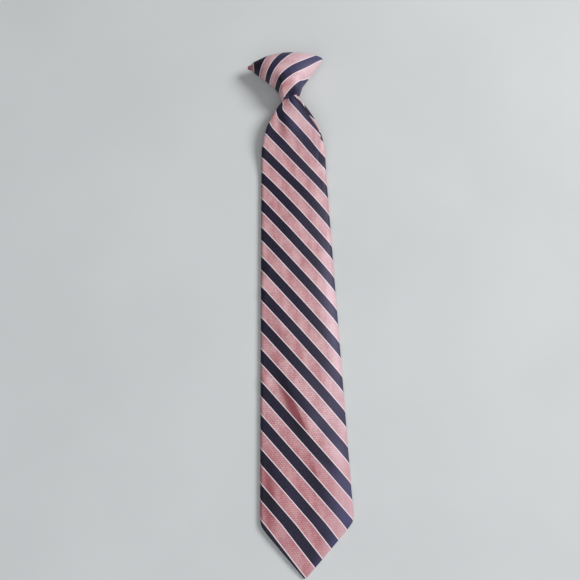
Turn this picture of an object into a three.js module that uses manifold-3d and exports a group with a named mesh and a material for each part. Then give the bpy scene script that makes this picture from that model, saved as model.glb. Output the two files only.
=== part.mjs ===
// A boy's clip-on necktie lying face up on a table: a striped blade folded from one cloth, the
// pre-formed knot that its neck is tucked into, and the one-piece hook behind the knot.
// Millimetres, +Z up. +Y runs from the tip of the blade to the knot and +X to the viewer's right.
import * as THREE from "three";
import { mergeVertices } from "three/addons/utils/BufferGeometryUtils.js";
import Module from "manifold-3d";

const solids = await Module();
solids.setup();

// Overall sizes
const TIE_LENGTH = 387.5;
const BLADE_WIDTH = 64;
const SHOULDER_WIDTH = 50;
const NECK_WIDTH = 13.4;
const KNOT_WIDTH = 60.4;
const KNOT_HEIGHT = 41;
const KNOT_DEPTH = 15.5;

// Lengths along the blade
const TIP_RISE = 34.8;
const SHOULDER_LENGTH = 46;
const NECK_TUCK = 14;
const NECK_OVERLAP = 4;
const NECK_SIDE = -1.3;
const NECK_TAPER = 2;
const LIFT_LENGTH = 64;

// Cloth
const CLOTH = 1;
const LAYER_GAP = 0.3;
const EDGE_THICKNESS = 4;
const TIP_THICKNESS = 2.8;
const NECK_THICKNESS = 3.6;
const CROWN = 0.9;
const NECK_CROWN = 0.3;
const FLAP_OVERLAP = 8;
const FLAP_STEP = 2;
const SEAM_START = 24;
const CAVITY_START = 12;
const LEFT_ROLL = 2.2;
const RIGHT_ROLL = 5.5;
const TIP_ROLL = 1.8;
const UNDER_ROLL = 1.6;
const PLEAT_ROLL = 1.1;
const PLEAT_INSET = 4.2;
const PLEAT_DEPTH = 5;
const TIP_OFFSET = -3;
const CROWN_FADE = 12;
const FLAP_MARGIN = 1.2;
const FOLD_SLACK = 2;
const FOLD_FLAT = 1.7;
const PLAIN_STRIP = 4;

// Knot
const KNOT_TURN = THREE.MathUtils.degToRad(8.9);
const KNOT_OFFSET = -4;
const KNOT_WALL = 2;
const KNOT_EDGE = 2.6;
const KNOT_BACK_ROUND = 2.4;
const FIT_CLEARANCE = 0.35;

// Hook
const HOOK_WIDTH = 20;
const HOOK_LENGTH = 26;
const HOOK_PLATE_LENGTH = 20;
const HOOK_SHEET = 1.4;
const HOOK_GAP = 4.8;
const HOOK_CORNER = 5;
const HOOK_TOP = 11;

// The knot's sections from its left tip to its right tip. Across is a share of half the width,
// top and bottom are shares of the height from the line through both tips, and depth is a share
// of the depth. The first three rows are the small ear that stands out on the left.
const KNOT_SECTIONS = [
  { across: -1.0, top: 0.09, bottom: 0.07, depth: 0.2 },
  { across: -0.94, top: 0.115, bottom: 0.01, depth: 0.26 },
  { across: -0.87, top: 0.135, bottom: -0.055, depth: 0.34 },
  { across: -0.8, top: 0.145, bottom: -0.11, depth: 0.48 },
  { across: -0.7, top: 0.157, bottom: -0.185, depth: 0.64 },
  { across: -0.58, top: 0.18, bottom: -0.285, depth: 0.78 },
  { across: -0.45, top: 0.202, bottom: -0.41, depth: 0.89 },
  { across: -0.37, top: 0.214, bottom: -0.5, depth: 0.93 },
  { across: -0.33, top: 0.219, bottom: -0.6, depth: 0.95 },
  { across: -0.27, top: 0.226, bottom: -0.75, depth: 0.98 },
  { across: -0.12, top: 0.234, bottom: -0.755, depth: 1.0 },
  { across: 0.0, top: 0.236, bottom: -0.75, depth: 1.0 },
  { across: 0.1, top: 0.234, bottom: -0.735, depth: 0.98 },
  { across: 0.17, top: 0.228, bottom: -0.69, depth: 0.96 },
  { across: 0.23, top: 0.222, bottom: -0.62, depth: 0.93 },
  { across: 0.32, top: 0.21, bottom: -0.5, depth: 0.89 },
  { across: 0.48, top: 0.182, bottom: -0.375, depth: 0.8 },
  { across: 0.64, top: 0.15, bottom: -0.27, depth: 0.69 },
  { across: 0.8, top: 0.122, bottom: -0.15, depth: 0.54 },
  { across: 0.9, top: 0.1, bottom: -0.065, depth: 0.41 },
  { across: 0.96, top: 0.085, bottom: -0.005, depth: 0.31 },
  { across: 1.0, top: 0.065, bottom: 0.035, depth: 0.22 },
];
// The hollow stays in the body of the knot: its two wings are pressed flat and filled.
const HOLLOW_REACH = 0.6;

// The pleat under the right side of the neck. Along is a share of the shoulder from where the
// blade starts to narrow, turn is how far the cloth is folded over in degrees, depth is a share
// of the pleat's depth, and inset is the fold's distance from the right edge as a share.
const PLEAT_ROWS = [
  { along: 0.08, turn: 0, depth: 0.06, inset: 0.55 },
  { along: 0.16, turn: 24, depth: 0.06, inset: 0.52 },
  { along: 0.24, turn: 58, depth: 0.06, inset: 0.5 },
  { along: 0.32, turn: 100, depth: 0.07, inset: 0.5 },
  { along: 0.4, turn: 146, depth: 0.2, inset: 0.54 },
  { along: 0.5, turn: 172, depth: 0.5, inset: 0.65 },
  { along: 0.62, turn: 180, depth: 0.85, inset: 0.95 },
  { along: 0.74, turn: 180, depth: 1.0, inset: 1.0 },
  { along: 0.84, turn: 180, depth: 0.8, inset: 0.75 },
  { along: 0.92, turn: 180, depth: 0.6, inset: 0.7 },
  { along: 1.0, turn: 180, depth: 0.4, inset: 0.68 },
];

// Shares and powers of the curves
const SHOULDER_CURVE = 2.1;
const ROLL_WAIST = 0.42;
const ROLL_LIMIT = 0.42;
const RAMP_LEAST = 0.3;
const FRONT_POWER = 2.6;
const FRONT_ROUND = 2.2;
const BACK_ROUND_SHARE = 0.3;

// Points along each curve, and the smallest detail that is kept
const ROLL_STEPS = 5;
const TURN_STEPS = 5;
const FRONT_STEPS = 8;
const STRIP_STEPS = 3;
const KNOT_STEPS = 14;
const SMALLEST_DETAIL = 0.02;

// Places worked out from the sizes
const knotTop = KNOT_HEIGHT * Math.max(...KNOT_SECTIONS.map((row) => row.top));
const knotMouth = KNOT_HEIGHT * Math.min(...KNOT_SECTIONS.map((row) => row.bottom));
const knotCentreY = TIE_LENGTH - knotTop * Math.cos(KNOT_TURN);
const throatY = knotCentreY + knotMouth * Math.cos(KNOT_TURN);
const throatX = KNOT_OFFSET + NECK_SIDE - knotMouth * Math.sin(KNOT_TURN);
const shoulderEndY = throatY - 1;
const shoulderY = shoulderEndY - SHOULDER_LENGTH;
const neckEndY = throatY + NECK_TUCK;
const knotBackZ = 2 * HOOK_SHEET + HOOK_GAP + LAYER_GAP;
const neckLift = knotBackZ + KNOT_WALL + FIT_CLEARANCE;

const lerp = THREE.MathUtils.lerp;
const smoothstep = THREE.MathUtils.smoothstep;

// A table's column at a place, straight between its rows.
function column(rows, key, at, name) {
  if (at <= rows[0][key]) return rows[0][name];
  for (let i = 1; i < rows.length; i++) {
    const [a, b] = [rows[i - 1], rows[i]];
    if (at <= b[key]) return lerp(a[name], b[name], (at - a[key]) / (b[key] - a[key]));
  }
  return rows[rows.length - 1][name];
}

// A closed mesh as a solid with its faces pointing out.
function solidOf(positions, triangles) {
  const geometry = new THREE.BufferGeometry();
  geometry.setAttribute("position", new THREE.Float32BufferAttribute(positions, 3));
  geometry.setIndex(triangles);
  const merged = mergeVertices(geometry, 1e-4);
  const make = (faces) =>
    new solids.Manifold(
      new solids.Mesh({
        numProp: 3,
        vertProperties: merged.attributes.position.array,
        triVerts: faces,
      }),
    );
  const faces = new Uint32Array(merged.index.array);
  const solid = make(faces);
  if (solid.volume() > 0) return solid;
  for (let i = 0; i < faces.length; i += 3) [faces[i + 1], faces[i + 2]] = [faces[i + 2], faces[i + 1]];
  return make(faces);
}

function solidOfGeometry(source) {
  const geometry = source.clone();
  geometry.deleteAttribute("normal");
  geometry.deleteAttribute("uv");
  const merged = mergeVertices(geometry, 1e-4);
  return solidOf(Array.from(merged.attributes.position.array), Array.from(merged.index.array));
}

function geometryOf(solid) {
  const mesh = solid.simplify(SMALLEST_DETAIL).getMesh();
  const positions = new Float32Array(mesh.numVert * 3);
  for (let i = 0; i < mesh.numVert; i++) {
    positions.set(mesh.vertProperties.subarray(i * mesh.numProp, i * mesh.numProp + 3), i * 3);
  }
  const geometry = new THREE.BufferGeometry();
  geometry.setAttribute("position", new THREE.BufferAttribute(positions, 3));
  geometry.setIndex(Array.from(mesh.triVerts));
  geometry.computeVertexNormals();
  return geometry;
}

// A solid through closed rings that all have the same number of points. flat gives a ring's point
// as a Vector2, for closing the first and the last ring.
function loft(rings, flat) {
  const count = rings[0].length;
  const positions = rings.flat().flatMap((p) => [p.x, p.y, p.z]);
  const triangles = [];
  for (let i = 0; i + 1 < rings.length; i++) {
    for (let j = 0; j < count; j++) {
      const [a, b] = [i * count + j, i * count + ((j + 1) % count)];
      triangles.push(a, b, a + count, b, b + count, a + count);
    }
  }
  const cap = (ring, start, last) => {
    const forward = THREE.ShapeUtils.area(ring.map(flat)) > 0;
    const order = ring.map((_, i) => (forward ? i : count - 1 - i));
    const outline = order.map((i) => flat(ring[i]).toArray());
    for (const corners of solids.triangulate([outline])) {
      const face = corners.map((i) => start + order[i]);
      triangles.push(...(forward === last ? face : face.reverse()));
    }
  };
  cap(rings[0], 0, false);
  cap(rings[rings.length - 1], (rings.length - 1) * count, true);
  return solidOf(positions, triangles);
}

// The blade's half width, centre and height above the table at a distance y from its tip.
function bladeHalfWidth(y) {
  if (y < TIP_RISE) return Math.max(0.6, ((BLADE_WIDTH / 2) * y) / TIP_RISE);
  if (y < shoulderY) return lerp(BLADE_WIDTH, SHOULDER_WIDTH, (y - TIP_RISE) / (shoulderY - TIP_RISE)) / 2;
  const t = Math.min(1, (y - shoulderY) / SHOULDER_LENGTH);
  const taper = NECK_TAPER * smoothstep(y, shoulderEndY, neckEndY);
  return (lerp(SHOULDER_WIDTH, NECK_WIDTH, t ** SHOULDER_CURVE) - taper) / 2;
}

function bladeCentre(y) {
  if (y < TIP_RISE) return TIP_OFFSET * (1 - y / TIP_RISE);
  if (y <= shoulderY) return 0;
  if (y <= throatY) return throatX * smoothstep(y, shoulderY, throatY);
  return throatX - (y - throatY) * Math.tan(KNOT_TURN);
}

const bladeLift = (y) => neckLift * smoothstep(y, throatY - LIFT_LENGTH, throatY - NECK_OVERLAP);

const shoulderShare = (y) => (y - shoulderY) / SHOULDER_LENGTH;

function edgeThickness(y) {
  if (y < TIP_RISE) return lerp(TIP_THICKNESS, EDGE_THICKNESS, y / TIP_RISE);
  return lerp(EDGE_THICKNESS, NECK_THICKNESS, smoothstep(y, shoulderY, throatY));
}

// The cloth's middle line around the blade at y: left under roll, front, pleat, right roll and the
// two flaps of the back. It runs clockwise seen from the tip, so outside is on its left.
function clothPath(y) {
  const half = bladeHalfWidth(y);
  const centre = bladeCentre(y);
  const low = CLOTH / 2;
  const high = edgeThickness(y) - CLOTH / 2;
  const middle = lerp(low, high, ROLL_WAIST);
  const left = centre - half + CLOTH / 2;
  const right = centre + half - CLOTH / 2;
  const limit = ROLL_LIMIT * half;
  const roll = (edge, side, width, fromZ, toZ, turned) => {
    const points = [];
    for (let i = 0; i <= ROLL_STEPS; i++) {
      const a = ((turned ? ROLL_STEPS - i : i) / ROLL_STEPS) * (Math.PI / 2);
      points.push(new THREE.Vector2(edge + side * width * (1 - Math.sin(a)), lerp(fromZ, toZ, Math.cos(a))));
    }
    return points;
  };
  const under = Math.min(UNDER_ROLL, limit);
  const cornerShare = smoothstep(y, 0.5 * TIP_RISE, 2.5 * TIP_RISE);
  const leftTop = Math.min(LEFT_ROLL, limit);
  const share = shoulderShare(y);
  const fullRoll = lerp(TIP_ROLL, RIGHT_ROLL, cornerShare);
  const rightRoll = lerp(fullRoll, PLEAT_ROLL, smoothstep(share, -0.5, PLEAT_ROWS[0].along));
  const rightTop = Math.min(rightRoll, limit);
  const crownHeight = y > shoulderY ? lerp(CROWN, NECK_CROWN, smoothstep(y, shoulderY, throatY)) : CROWN;
  const crown = (x) => {
    const away = Math.min(1, Math.abs(x - centre) / half);
    return crownHeight * Math.min(1, half / CROWN_FADE) * (1 - away * away);
  };

  const frontStart = left + leftTop;
  const frontEnd = right - rightTop;

  const path = [];
  path.push(...roll(left, 1, under, middle, low, false));
  path.push(...roll(left, 1, leftTop, middle, high + crown(frontStart), true).slice(1));

  const turn = THREE.MathUtils.degToRad(column(PLEAT_ROWS, "along", share, "turn"));
  const folded = turn > 0.1;
  const slack = 1 - turn / Math.PI;
  const radius = (CLOTH + LAYER_GAP) / 2 + FOLD_SLACK * slack * slack;
  const depth = PLEAT_DEPTH * column(PLEAT_ROWS, "along", share, "depth");
  const drop = folded ? 2 * radius * (1 - Math.cos(turn)) + depth * Math.sin(turn) : 0;
  const inset = PLEAT_INSET * column(PLEAT_ROWS, "along", share, "inset");
  const reach = Math.max(radius, 2 * radius * Math.sin(turn) + depth * Math.cos(turn));
  const turnStart = right + CLOTH / 2 - inset - reach;
  const rampEnd = Math.max(RAMP_LEAST, 1 - (depth + FOLD_FLAT) / (turnStart - frontStart));
  const plainStart = Math.max(lerp(frontStart, frontEnd, 0.6), frontEnd - PLAIN_STRIP);
  const pleatStart = folded ? turnStart : plainStart;
  for (let i = 1; i <= FRONT_STEPS; i++) {
    const t = i / FRONT_STEPS;
    const x = lerp(frontStart, pleatStart, t);
    path.push(new THREE.Vector2(x, high + crown(x) + drop * smoothstep(t, 0, folded ? rampEnd : 1)));
  }
  const pleatPoints = 2 * TURN_STEPS;
  if (!folded) {
    for (let i = 1; i <= pleatPoints + STRIP_STEPS; i++) {
      const x = lerp(pleatStart, frontEnd, i / (pleatPoints + STRIP_STEPS + 1));
      path.push(new THREE.Vector2(x, high + crown(x)));
    }
  } else {
    const at = path[path.length - 1].clone();
    let heading = 0;
    const walkTurn = (sign) => {
      for (let i = 0; i < TURN_STEPS; i++) {
        const step = turn / TURN_STEPS;
        heading -= (sign * step) / 2;
        const chord = 2 * radius * Math.sin(step / 2);
        at.add(new THREE.Vector2(Math.cos(heading), Math.sin(heading)).multiplyScalar(chord));
        heading -= (sign * step) / 2;
        path.push(at.clone());
      }
    };
    walkTurn(1);
    at.add(new THREE.Vector2(Math.cos(heading), Math.sin(heading)).multiplyScalar(depth));
    path.push(at.clone());
    walkTurn(-1);
    const foot = path[path.length - 1].clone();
    for (let i = 1; i < STRIP_STEPS; i++) {
      const t = i / STRIP_STEPS;
      path.push(new THREE.Vector2(lerp(foot.x, frontEnd, t), lerp(foot.y, high + crown(frontEnd), t)));
    }
  }
  path.push(...roll(right, -1, rightTop, middle, high + crown(frontEnd), false));
  path.push(...roll(right, -1, under, middle, low, true).slice(1));
  return { path, centre, low, half };
}

// Both faces of the cloth at y. The back's overlap makes the inner face step up at the middle.
function bladeRings(y) {
  const { path, centre, low, half } = clothPath(y);
  const lift = bladeLift(y);
  const outer = [];
  const inner = [];
  path.forEach((p, i) => {
    const before = path[Math.max(0, i - 1)];
    const after = path[Math.min(path.length - 1, i + 1)];
    const ahead = after.clone().sub(before).normalize();
    if (i === 0 || i === path.length - 1) ahead.set(-1, 0);
    const out = new THREE.Vector2(-ahead.y, ahead.x).multiplyScalar(CLOTH / 2);
    outer.push(new THREE.Vector3(p.x + out.x, y, p.y + out.y + lift));
    inner.push(new THREE.Vector3(p.x - out.x, y, p.y - out.y + lift));
  });
  const lap = Math.min(FLAP_OVERLAP / 2 + FLAP_MARGIN, half * 0.45);
  const step = Math.min(FLAP_STEP, half * 0.15);
  const under = low - CLOTH / 2 + lift;
  const single = low + CLOTH / 2 + lift;
  const double = single + CLOTH + LAYER_GAP;
  for (const [x, z] of [
    [lap + step, single],
    [lap, double],
    [-lap, double],
    [-lap - step, single],
  ]) {
    outer.push(new THREE.Vector3(centre + x, y, under));
    inner.push(new THREE.Vector3(centre + x, y, z));
  }
  return { outer, inner };
}

// The slit between the two flaps of the back: in at the right flap's fold, along between the
// layers, and up into the hollow.
function seamRing(y) {
  const centre = bladeCentre(y);
  const lift = bladeLift(y);
  const half = bladeHalfWidth(y);
  const lap = Math.min(FLAP_OVERLAP, half * 0.6) / 2;
  const under = -1;
  const over = 2 * CLOTH + LAYER_GAP + 0.15;
  return [
    [lap, under],
    [lap + LAYER_GAP, under],
    [lap + LAYER_GAP, CLOTH + LAYER_GAP],
    [-lap, CLOTH + LAYER_GAP],
    [-lap, over],
    [-lap - LAYER_GAP, over],
    [-lap - LAYER_GAP, CLOTH],
    [lap, CLOTH],
  ].map(([x, z]) => new THREE.Vector3(centre + x, y, z + lift));
}

const acrossY = (p) => new THREE.Vector2(p.x, p.z);

function bladeStations() {
  const tip = [0.03, 0.3, 0.62, 0.9, 1].map((share) => share * TIP_RISE);
  const body = [0.2, 0.45, 0.72].map((share) => lerp(TIP_RISE, throatY - LIFT_LENGTH, share));
  const shoulder = [throatY - LIFT_LENGTH, shoulderY, shoulderY + 0.07 * SHOULDER_LENGTH];
  const pleat = PLEAT_ROWS.map((row) => shoulderY + row.along * SHOULDER_LENGTH);
  const inKnot = [throatY, lerp(throatY, neckEndY, 0.5), neckEndY];
  return [...tip, ...body, ...shoulder, ...pleat, ...inKnot].sort((a, b) => a - b);
}

function makeBlade() {
  const stations = bladeStations();
  const beyond = neckEndY + 2;
  const outer = loft(
    stations.map((y) => bladeRings(y).outer),
    acrossY,
  );
  const hollowStations = [CAVITY_START, ...stations.filter((y) => y > CAVITY_START + 1), beyond];
  const hollow = loft(
    hollowStations.map((y) => bladeRings(y).inner),
    acrossY,
  );
  const seamStations = [SEAM_START, ...stations.filter((y) => y > SEAM_START + 1), beyond];
  const seam = loft(seamStations.map(seamRing), acrossY);
  return outer.subtract(hollow).subtract(seam);
}

// One closed ring of the knot in its own frame: the front arches over from the lower edge to the
// upper edge, and the back is flat with rounded edges.
function knotRing(row, inset) {
  const x = (row.across * KNOT_WIDTH) / 2;
  const bottom = row.bottom * KNOT_HEIGHT + inset;
  const top = row.top * KNOT_HEIGHT - inset;
  const edge = Math.min(KNOT_EDGE, (row.depth * KNOT_DEPTH) / 2);
  const back = knotBackZ + inset;
  const height = row.depth * KNOT_DEPTH - edge - 2 * inset;
  const ring = [];
  for (let i = 0; i <= KNOT_STEPS; i++) {
    const share = (1 - Math.cos((Math.PI * i) / KNOT_STEPS)) / 2;
    const arch = (1 - Math.abs(2 * share - 1) ** FRONT_POWER) ** (1 / FRONT_ROUND);
    ring.push(new THREE.Vector3(x, lerp(bottom, top, share), back + edge + height * arch));
  }
  const round = Math.min(KNOT_BACK_ROUND, (top - bottom) * BACK_ROUND_SHARE);
  const corner = BACK_ROUND_SHARE;
  ring.push(new THREE.Vector3(x, top - corner * round, back + corner * edge));
  ring.push(new THREE.Vector3(x, top - round, back));
  ring.push(new THREE.Vector3(x, bottom + round, back));
  ring.push(new THREE.Vector3(x, bottom + corner * round, back + corner * edge));
  return ring;
}

const acrossX = (p) => new THREE.Vector2(p.y, p.z);

// The room that the blade's neck takes where it passes into the knot, with the clearance around it.
function neckRoom() {
  const stations = bladeStations().filter((y) => y > throatY - KNOT_HEIGHT / 5);
  const corners = [-1, 1].flatMap((x) => [-1, 1].map((z) => [x * FIT_CLEARANCE, z * FIT_CLEARANCE]));
  const sections = stations.map((y, i) => {
    const reach = i === stations.length - 1 ? FIT_CLEARANCE : 0;
    return bladeRings(y).outer.flatMap((p) => corners.map(([x, z]) => [p.x + x, y + reach, p.z + z]));
  });
  const blocks = sections.slice(1).map((points, i) => solids.Manifold.hull([...sections[i], ...points]));
  return solids.Manifold.union(blocks);
}

function makeKnot(placed) {
  const outer = loft(
    KNOT_SECTIONS.map((row) => knotRing(row, 0)),
    acrossX,
  );
  const body = KNOT_SECTIONS.filter((row) => Math.abs(row.across) <= HOLLOW_REACH);
  const hollow = loft(
    body.map((row) => knotRing(row, KNOT_WALL)),
    acrossX,
  );
  const toKnot = placed.clone().invert();
  const room = geometryOf(neckRoom()).applyMatrix4(toKnot);
  return outer.subtract(hollow).subtract(solidOfGeometry(room));
}

// The hook is one bent strip: a plate under the knot's back, a round bend at the top and a tongue
// with rounded corners that goes down behind a collar.
function makeHook() {
  const rise = 2 * HOOK_SHEET + HOOK_GAP;
  const bend = rise / 2;
  const bendY = HOOK_TOP - bend;
  const side = new THREE.Shape();
  side.moveTo(HOOK_TOP - HOOK_LENGTH, 0);
  side.lineTo(bendY, 0);
  side.absarc(bendY, bend, bend, -Math.PI / 2, Math.PI / 2, false);
  side.lineTo(HOOK_TOP - HOOK_PLATE_LENGTH, rise);
  side.lineTo(HOOK_TOP - HOOK_PLATE_LENGTH, rise - HOOK_SHEET);
  side.lineTo(bendY, rise - HOOK_SHEET);
  side.absarc(bendY, bend, bend - HOOK_SHEET, Math.PI / 2, -Math.PI / 2, true);
  side.lineTo(HOOK_TOP - HOOK_LENGTH, HOOK_SHEET);
  side.closePath();
  const across = { depth: HOOK_WIDTH, bevelEnabled: false, curveSegments: 12 };
  const strip = new THREE.ExtrudeGeometry(side, across);
  strip.applyMatrix4(
    new THREE.Matrix4().makeBasis(
      new THREE.Vector3(0, 1, 0),
      new THREE.Vector3(0, 0, 1),
      new THREE.Vector3(1, 0, 0),
    ),
  );
  strip.translate(-HOOK_WIDTH / 2, 0, 0);

  const half = HOOK_WIDTH / 2;
  const low = HOOK_TOP - HOOK_LENGTH;
  const plan = new THREE.Shape();
  plan.moveTo(-half, HOOK_TOP + 1);
  plan.lineTo(-half, low + HOOK_CORNER);
  plan.absarc(-half + HOOK_CORNER, low + HOOK_CORNER, HOOK_CORNER, Math.PI, 1.5 * Math.PI, false);
  plan.lineTo(half - HOOK_CORNER, low);
  plan.absarc(half - HOOK_CORNER, low + HOOK_CORNER, HOOK_CORNER, -Math.PI / 2, 0, false);
  plan.lineTo(half, HOOK_TOP + 1);
  plan.closePath();
  const through = { depth: rise + 2, bevelEnabled: false, curveSegments: 6 };
  const outline = new THREE.ExtrudeGeometry(plan, through);
  outline.translate(0, 0, -1);
  return solidOfGeometry(strip).intersect(solidOfGeometry(outline));
}

function named(name, geometry, material) {
  const mesh = new THREE.Mesh(geometry, material);
  mesh.name = name;
  return mesh;
}

const bladeCloth = new THREE.MeshStandardMaterial({ color: 0xc99391, roughness: 0.6, metalness: 0 });
const knotCloth = new THREE.MeshStandardMaterial({ color: 0x4a4a63, roughness: 0.6, metalness: 0 });
const hookPlastic = new THREE.MeshStandardMaterial({ color: 0x1d1d1f, roughness: 0.4, metalness: 0 });

const knotGroup = new THREE.Group();
knotGroup.position.set(KNOT_OFFSET, knotCentreY, 0);
knotGroup.rotation.z = KNOT_TURN;
knotGroup.updateMatrix();
knotGroup.add(named("knot", geometryOf(makeKnot(knotGroup.matrix)), knotCloth));
knotGroup.add(named("collar_hook", geometryOf(makeHook()), hookPlastic));

const tie = new THREE.Group();
tie.add(named("blade", geometryOf(makeBlade()), bladeCloth));
tie.add(knotGroup);

// The origin is the middle of the tie's box, on the table. The box is taken point by point, because
// the knot and the hook are turned.
const box = new THREE.Box3().setFromObject(tie, true);
const middle = box.getCenter(new THREE.Vector3());
tie.position.set(-middle.x, -middle.y, -box.min.z);
const root = new THREE.Group();
root.add(tie);

export default root;
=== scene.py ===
import math

import bmesh
import bpy
import numpy as np
from mathutils import Matrix, Vector


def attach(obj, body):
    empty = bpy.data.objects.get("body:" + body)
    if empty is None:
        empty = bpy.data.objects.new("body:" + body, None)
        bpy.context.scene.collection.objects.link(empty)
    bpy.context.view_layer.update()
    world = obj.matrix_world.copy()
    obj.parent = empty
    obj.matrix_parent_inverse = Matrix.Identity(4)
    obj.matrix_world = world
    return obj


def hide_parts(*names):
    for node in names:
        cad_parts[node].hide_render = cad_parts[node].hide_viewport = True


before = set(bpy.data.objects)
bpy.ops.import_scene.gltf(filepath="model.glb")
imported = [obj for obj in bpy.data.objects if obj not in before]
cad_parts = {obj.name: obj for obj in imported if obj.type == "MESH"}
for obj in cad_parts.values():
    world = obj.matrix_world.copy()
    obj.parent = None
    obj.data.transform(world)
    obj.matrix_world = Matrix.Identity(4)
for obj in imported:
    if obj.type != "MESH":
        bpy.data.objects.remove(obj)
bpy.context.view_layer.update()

# The clip-on tie lies face up: +Y from the tip to the knot, +X to the viewer's right, +Z up.
# Sizes are in millimetres, measured along the tie from its tip, and MM turns them into metres.
MM = 0.001
BODY_X = 1.204
TIP_Y = -195.7

# The blade's outline, its shift to the side and the rise of its neck
BLADE_WIDTH = 64
SHOULDER_WIDTH = 50
NECK_WIDTH = 13.4
TIP_RISE = 34.8
TIP_START = 1.05
TIP_SHIFT = -3
THROAT_Y = 347.36
THROAT_X = -0.51
SHOULDER_END = 346.36
SHOULDER_Y = 300.36
SHOULDER_LENGTH = 46
SHOULDER_CURVE = 2.1
NECK_END = 361.36
NECK_LIFT = 10.25
LIFT_LENGTH = 64
LIFT_OVERLAP = 4

# The blade's cloth, its thickness when folded, and the crown of its front
CLOTH = 0.7
LAYER_GAP = 0.3
BODY_THICKNESS = 4
TIP_THICKNESS = 2.8
POINT_THICKNESS = 1.7
POINT_LENGTH = 8
NECK_THICKNESS = 3.6
CROWN = 1.4
NECK_CROWN = 0.3
CROWN_FADE = 12
CLOTH_CREASE = math.radians(50)

# The rolled side edges: their radii, and where the right one grows from the tip's radius to its
# own, as shares of the tip's rise
LEFT_ROLL = 2.2
RIGHT_ROLL = 4.5
TIP_ROLL = 1.8
UNDER_ROLL = 1.6
ROLL_GROWS = 0.5
ROLL_FULL = 2.5
ROLL_WAIST = 0.42
ROLL_LIMIT = 0.42
CORNER_CUT = 0.9

# The two flaps behind: their lap, and the left one's folded edge, which fades out at the shoulder
FLAP_OVERLAP = 8
LAP_SHARE = 0.6
LAP_CLEARANCE = 0.15
FLAP_STEP = 2.4
STEP_SHARE = 0.15
FLAP_FOLD = 0.9
FOLD_FULL_WIDTH = 10
FOLD_FADE_BELOW = 20
FOLD_FADE_ABOVE = 10
TUCK_LENGTH = 1.6
TUCK_SHARE = 0.6
RAW_STRIP = 1
RAW_SHARE = 0.4
RAW_END = 0.1

# The pleat, and the plain strip that stands in for it lower down
PLEAT_ROLL = 1.1
PLEAT_INSET = 4.2
PLEAT_DEPTH = 5
PLEAT_LEAD = -0.5
LEAST_TURN = 0.1
FOLD_SLACK = 2
FOLD_FLAT = 1.7
PLAIN_STRIP = 4
PLAIN_SHARE = 0.6
RAMP_LEAST = 0.3
HOLD_FROM = -0.35
HOLD_TO = 0.06
HOLD_STRIP = 3

# Painted light and shade in the blade's colour, lighter where the cloth faces the window lamp and
# darker where it faces away: with the relief, over the crown, in the neck, at the right of the tip
# and over the side edges
RELIEF_STEP = 0.5
RELIEF_PAINTED_LIGHT = 1.25
RELIEF_ALONG = 0.45
CROWN_PAINTED_LIGHT = 0.05
NECK_PAINTED_LIGHT = 0.15
NECK_PAINTED_LIGHT_FROM = 285
NECK_PAINTED_LIGHT_TO = 325
TIP_PAINTED_LIGHT = 0.34
TIP_PAINTED_LIGHT_POWER = 1.5
TIP_PAINTED_LIGHT_FULL = 35
TIP_PAINTED_LIGHT_END = 85
EDGE_PAINTED_LIGHT = 0.45
EDGE_PAINTED_LIGHT_RISE = 3

# Rows of the blade's mesh along its length, and points round it
TIP_ROWS = 34
TIP_CROWDING = 1.25
TIP_CORNER_GAP = 0.06
BODY_ROWS = 150
SHOULDER_ROWS = 62
SHOULDER_LEAD = 6
ROLL_POINTS = 8
EDGE_POINTS = 7
LEFT_FLAP_POINTS = 16
RIGHT_FLAP_POINTS = 10
LAP_POINTS = 9
BLADE_FRONT_POINTS = 44
FOLD_STEPS = 8
STRIP_POINTS = 7

# The pleat under the right side of the neck: along is a share of the shoulder, turn is how far
# the cloth is folded over in degrees, depth and inset are shares of the pleat's own sizes.
PLEAT_ROWS = [
    {"along": 0.08, "turn": 0, "depth": 0.06, "inset": 0.55},
    {"along": 0.16, "turn": 24, "depth": 0.06, "inset": 0.52},
    {"along": 0.24, "turn": 58, "depth": 0.06, "inset": 0.5},
    {"along": 0.32, "turn": 100, "depth": 0.07, "inset": 0.5},
    {"along": 0.4, "turn": 146, "depth": 0.2, "inset": 0.54},
    {"along": 0.5, "turn": 172, "depth": 0.5, "inset": 0.65},
    {"along": 0.62, "turn": 180, "depth": 0.85, "inset": 0.95},
    {"along": 0.74, "turn": 180, "depth": 1.0, "inset": 1.0},
    {"along": 0.84, "turn": 180, "depth": 0.8, "inset": 0.75},
    {"along": 0.92, "turn": 180, "depth": 0.6, "inset": 0.7},
    {"along": 1.0, "turn": 180, "depth": 0.4, "inset": 0.68},
]

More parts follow.
